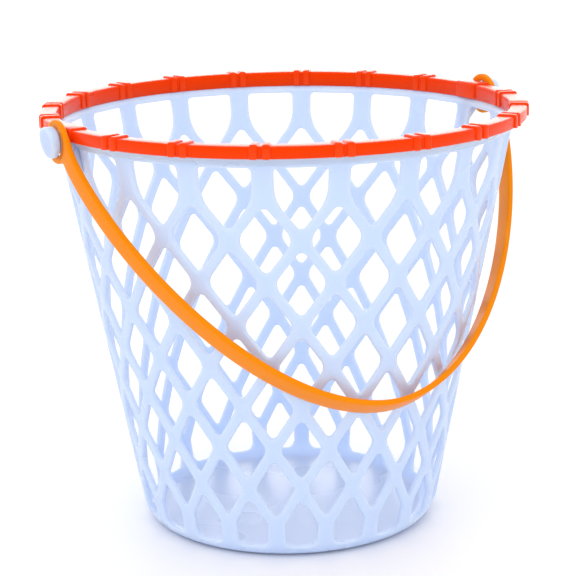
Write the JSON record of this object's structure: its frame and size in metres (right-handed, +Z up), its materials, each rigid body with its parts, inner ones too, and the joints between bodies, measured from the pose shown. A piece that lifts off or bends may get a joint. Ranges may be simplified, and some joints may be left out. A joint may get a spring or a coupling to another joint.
{
  "type": "beach sieve pail",
  "caption": "Tapered beach pail with a net-cut sieve wall, a clipped-on rim ring and a flat strap handle that swings on two side ears.",
  "frame": {"origin": "the tub's axis on its flat underside, at the height of the surface it stands on", "axes": "+Z up along the tub's axis, X through the two ears and the handle's pivots, the handle hanging towards -Y"},
  "size_m": [0.2148, 0.2014, 0.1795],
  "materials": {
    "tub_plastic": "pale blue translucent moulded polypropylene, soft gloss",
    "ring_plastic": "red-orange moulded polypropylene, soft gloss",
    "handle_plastic": "orange moulded polypropylene, soft gloss"
  },
  "bodies": {
    "pail": {"net_tub": "tub_plastic", "rim_ring": "ring_plastic"},
    "handle": {"strap_handle": "handle_plastic"}
  },
  "joints": [
    {"name": "handle_swing", "type": "hinge", "parent": "pail", "child": "handle", "pos_m": [0, 0, 0.1709], "axis": [-1, 0, 0], "range_deg": [0, 285.23]}
  ]
}
